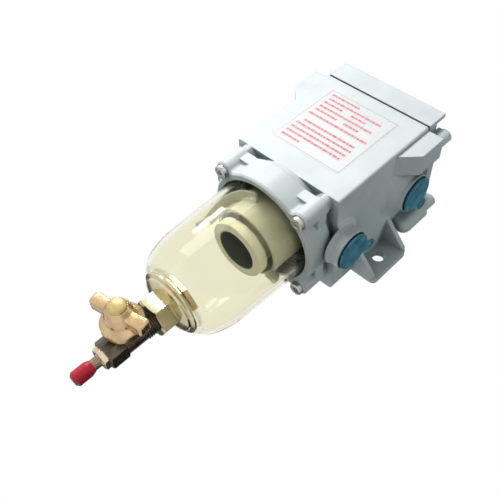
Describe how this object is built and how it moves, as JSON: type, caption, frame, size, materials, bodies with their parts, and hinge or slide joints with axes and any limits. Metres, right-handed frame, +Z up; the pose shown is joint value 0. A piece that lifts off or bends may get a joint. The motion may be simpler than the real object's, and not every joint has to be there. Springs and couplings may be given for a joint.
{
  "type": "fuel water separator",
  "caption": "Wall-mounted fuel water separator: square cast housing with lid, plugged side ports, clear bowl with vane insert and a brass drain cock with butterfly handle.",
  "frame": {"origin": "on the wall plane (back faces of the ears), midway between the two ear holes", "axes": "+Z up, from the drain cock to the lid; +Y into the wall; the label face looks along -Y; the ports are on +X and -X"},
  "size_m": [0.1226, 0.0929, 0.2832],
  "materials": {
    "grey_paint": "satin",
    "seal_rubber": "matte",
    "zinc_steel": "satin",
    "copper_washer": "satin",
    "filter_paper": "matte",
    "cap_plastic": "matte",
    "bowl_clear": "gloss",
    "insert_plastic": "satin",
    "plug_blue": "satin",
    "brass": "satin",
    "brass_handle": "cast",
    "seat_plastic": "matte",
    "cap_red": "gloss"
  },
  "bodies": {
    "separator": {"housing": "grey_paint", "lid": "grey_paint", "lid_seal": "seal_rubber", "lid_screws": "zinc_steel", "vent_screw": "zinc_steel", "vent_washer": "copper_washer", "filter_element": "filter_paper", "filter_cap_bottom": "cap_plastic", "filter_cap_top": "cap_plastic", "filter_spring": "zinc_steel", "flange_ring": "grey_paint", "flange_screws": "zinc_steel", "bowl": "bowl_clear", "bowl_seal": "seal_rubber", "rising_tube": "insert_plastic", "vane_skirt": "insert_plastic", "insert_seal": "seal_rubber", "drain_collar": "brass", "drain_seal": "seal_rubber", "drain_locknut": "brass", "valve_body": "brass", "ball_seats": "seat_plastic", "stem_packing": "seat_plastic", "drain_nipple": "brass"},
    "tap": {"valve_handle": "brass_handle", "handle_nut": "brass", "valve_stem": "brass", "valve_ball": "brass"},
    "nipple_cap": {"drain_cap": "cap_red"},
    "right_upper_plug": {"plug_right_upper": "plug_blue"},
    "right_lower_plug": {"plug_right_lower": "plug_blue"},
    "left_upper_plug": {"plug_left_upper": "plug_blue"},
    "left_lower_plug": {"plug_left_lower": "plug_blue"}
  },
  "joints": [
    {"name": "tap_turn", "type": "hinge", "parent": "separator", "child": "tap", "pos_m": [0, -0.0503, -0.1763], "axis": [0, 1, 0], "range_deg": [-78, 12]},
    {"name": "cap_pull", "type": "slide", "parent": "separator", "child": "nipple_cap", "axis": [0, 0, -1], "range_m": [0, 0.015]},
    {"name": "right_upper_plug_pull", "type": "slide", "parent": "separator", "child": "right_upper_plug", "axis": [1, 0, 0], "range_m": [0, 0.012]},
    {"name": "right_lower_plug_pull", "type": "slide", "parent": "separator", "child": "right_lower_plug", "axis": [1, 0, 0], "range_m": [0, 0.012]},
    {"name": "left_upper_plug_pull", "type": "slide", "parent": "separator", "child": "left_upper_plug", "axis": [-1, 0, 0], "range_m": [0, 0.012]},
    {"name": "left_lower_plug_pull", "type": "slide", "parent": "separator", "child": "left_lower_plug", "axis": [-1, 0, 0], "range_m": [0, 0.012]}
  ]
}
